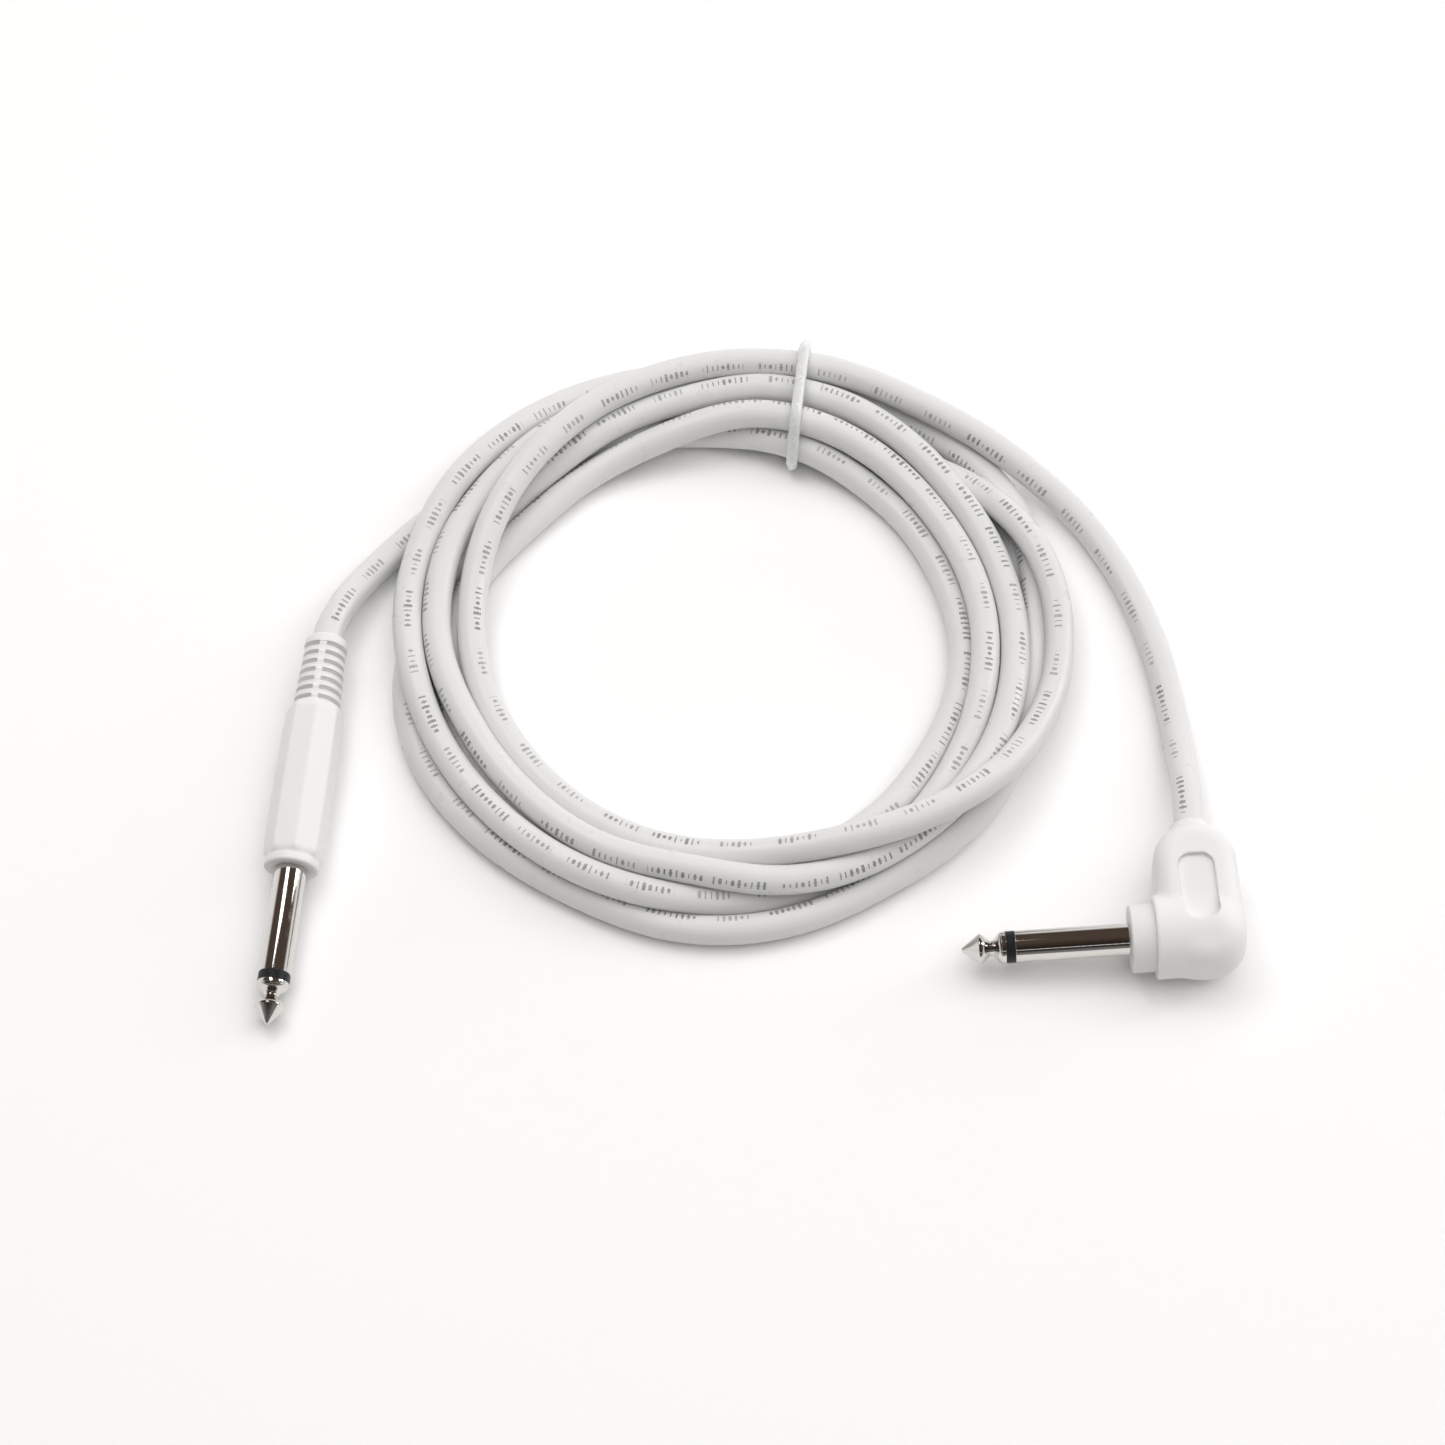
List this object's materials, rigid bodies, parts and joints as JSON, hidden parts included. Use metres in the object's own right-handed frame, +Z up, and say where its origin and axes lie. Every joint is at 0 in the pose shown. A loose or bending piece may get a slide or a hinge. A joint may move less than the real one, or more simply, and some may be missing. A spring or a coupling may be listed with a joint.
{
  "type": "instrument cable",
  "caption": "White instrument cable with a straight and a right-angle jack plug, wound in a round coil and held by an elastic tie ring.",
  "frame": {"origin": "bottom centre of the box round the two plugs, on the surface that the cable lies on", "axes": "+Z up, +Y towards the back of the coil with both plugs in front, +X towards the right-angle plug"},
  "size_m": [0.1934, 0.1556, 0.0171],
  "materials": {
    "nickel": "polished nickel plate, lightly handled",
    "black_ring": "smooth black insulating plastic",
    "insulator": "natural translucent insulating plastic",
    "tag_brass": "pressed brass, thin tin plate",
    "copper": "bare copper strands",
    "solder": "dull bright solder",
    "inner_mould_plastic": "white moulded plastic, fine matt",
    "moulding_pvc": "white soft PVC moulding, satin with a fine grain",
    "cable_pvc": "white PVC jacket, satin gloss",
    "tie_elastic": "pale translucent elastic cord"
  },
  "bodies": {
    "root": {"straight_tip_contact": "nickel", "straight_tip_ring": "black_ring", "straight_pin_insulator": "insulator", "straight_sleeve": "nickel", "straight_washer": "insulator", "straight_tip_tag": "tag_brass", "straight_sleeve_tag": "tag_brass", "straight_conductor": "copper", "straight_core_insulation": "insulator", "straight_shield": "copper", "straight_tip_solder": "solder", "straight_sleeve_solder": "solder", "straight_jacket_end": "cable_pvc", "straight_inner_mould": "inner_mould_plastic", "straight_handle": "moulding_pvc", "angle_tip_contact": "nickel", "angle_tip_ring": "black_ring", "angle_pin_insulator": "insulator", "angle_sleeve": "nickel", "angle_washer": "insulator", "angle_tip_tag": "tag_brass", "angle_sleeve_tag": "tag_brass", "angle_conductor": "copper", "angle_core_insulation": "insulator", "angle_shield": "copper", "angle_tip_solder": "solder", "angle_sleeve_solder": "solder", "angle_jacket_end": "cable_pvc", "angle_inner_mould": "inner_mould_plastic", "angle_housing": "moulding_pvc", "cable_coil": "cable_pvc", "cable_lead_angle": "cable_pvc", "cable_lead_straight": "cable_pvc", "tie_ring": "tie_elastic"}
  },
  "joints": []
}
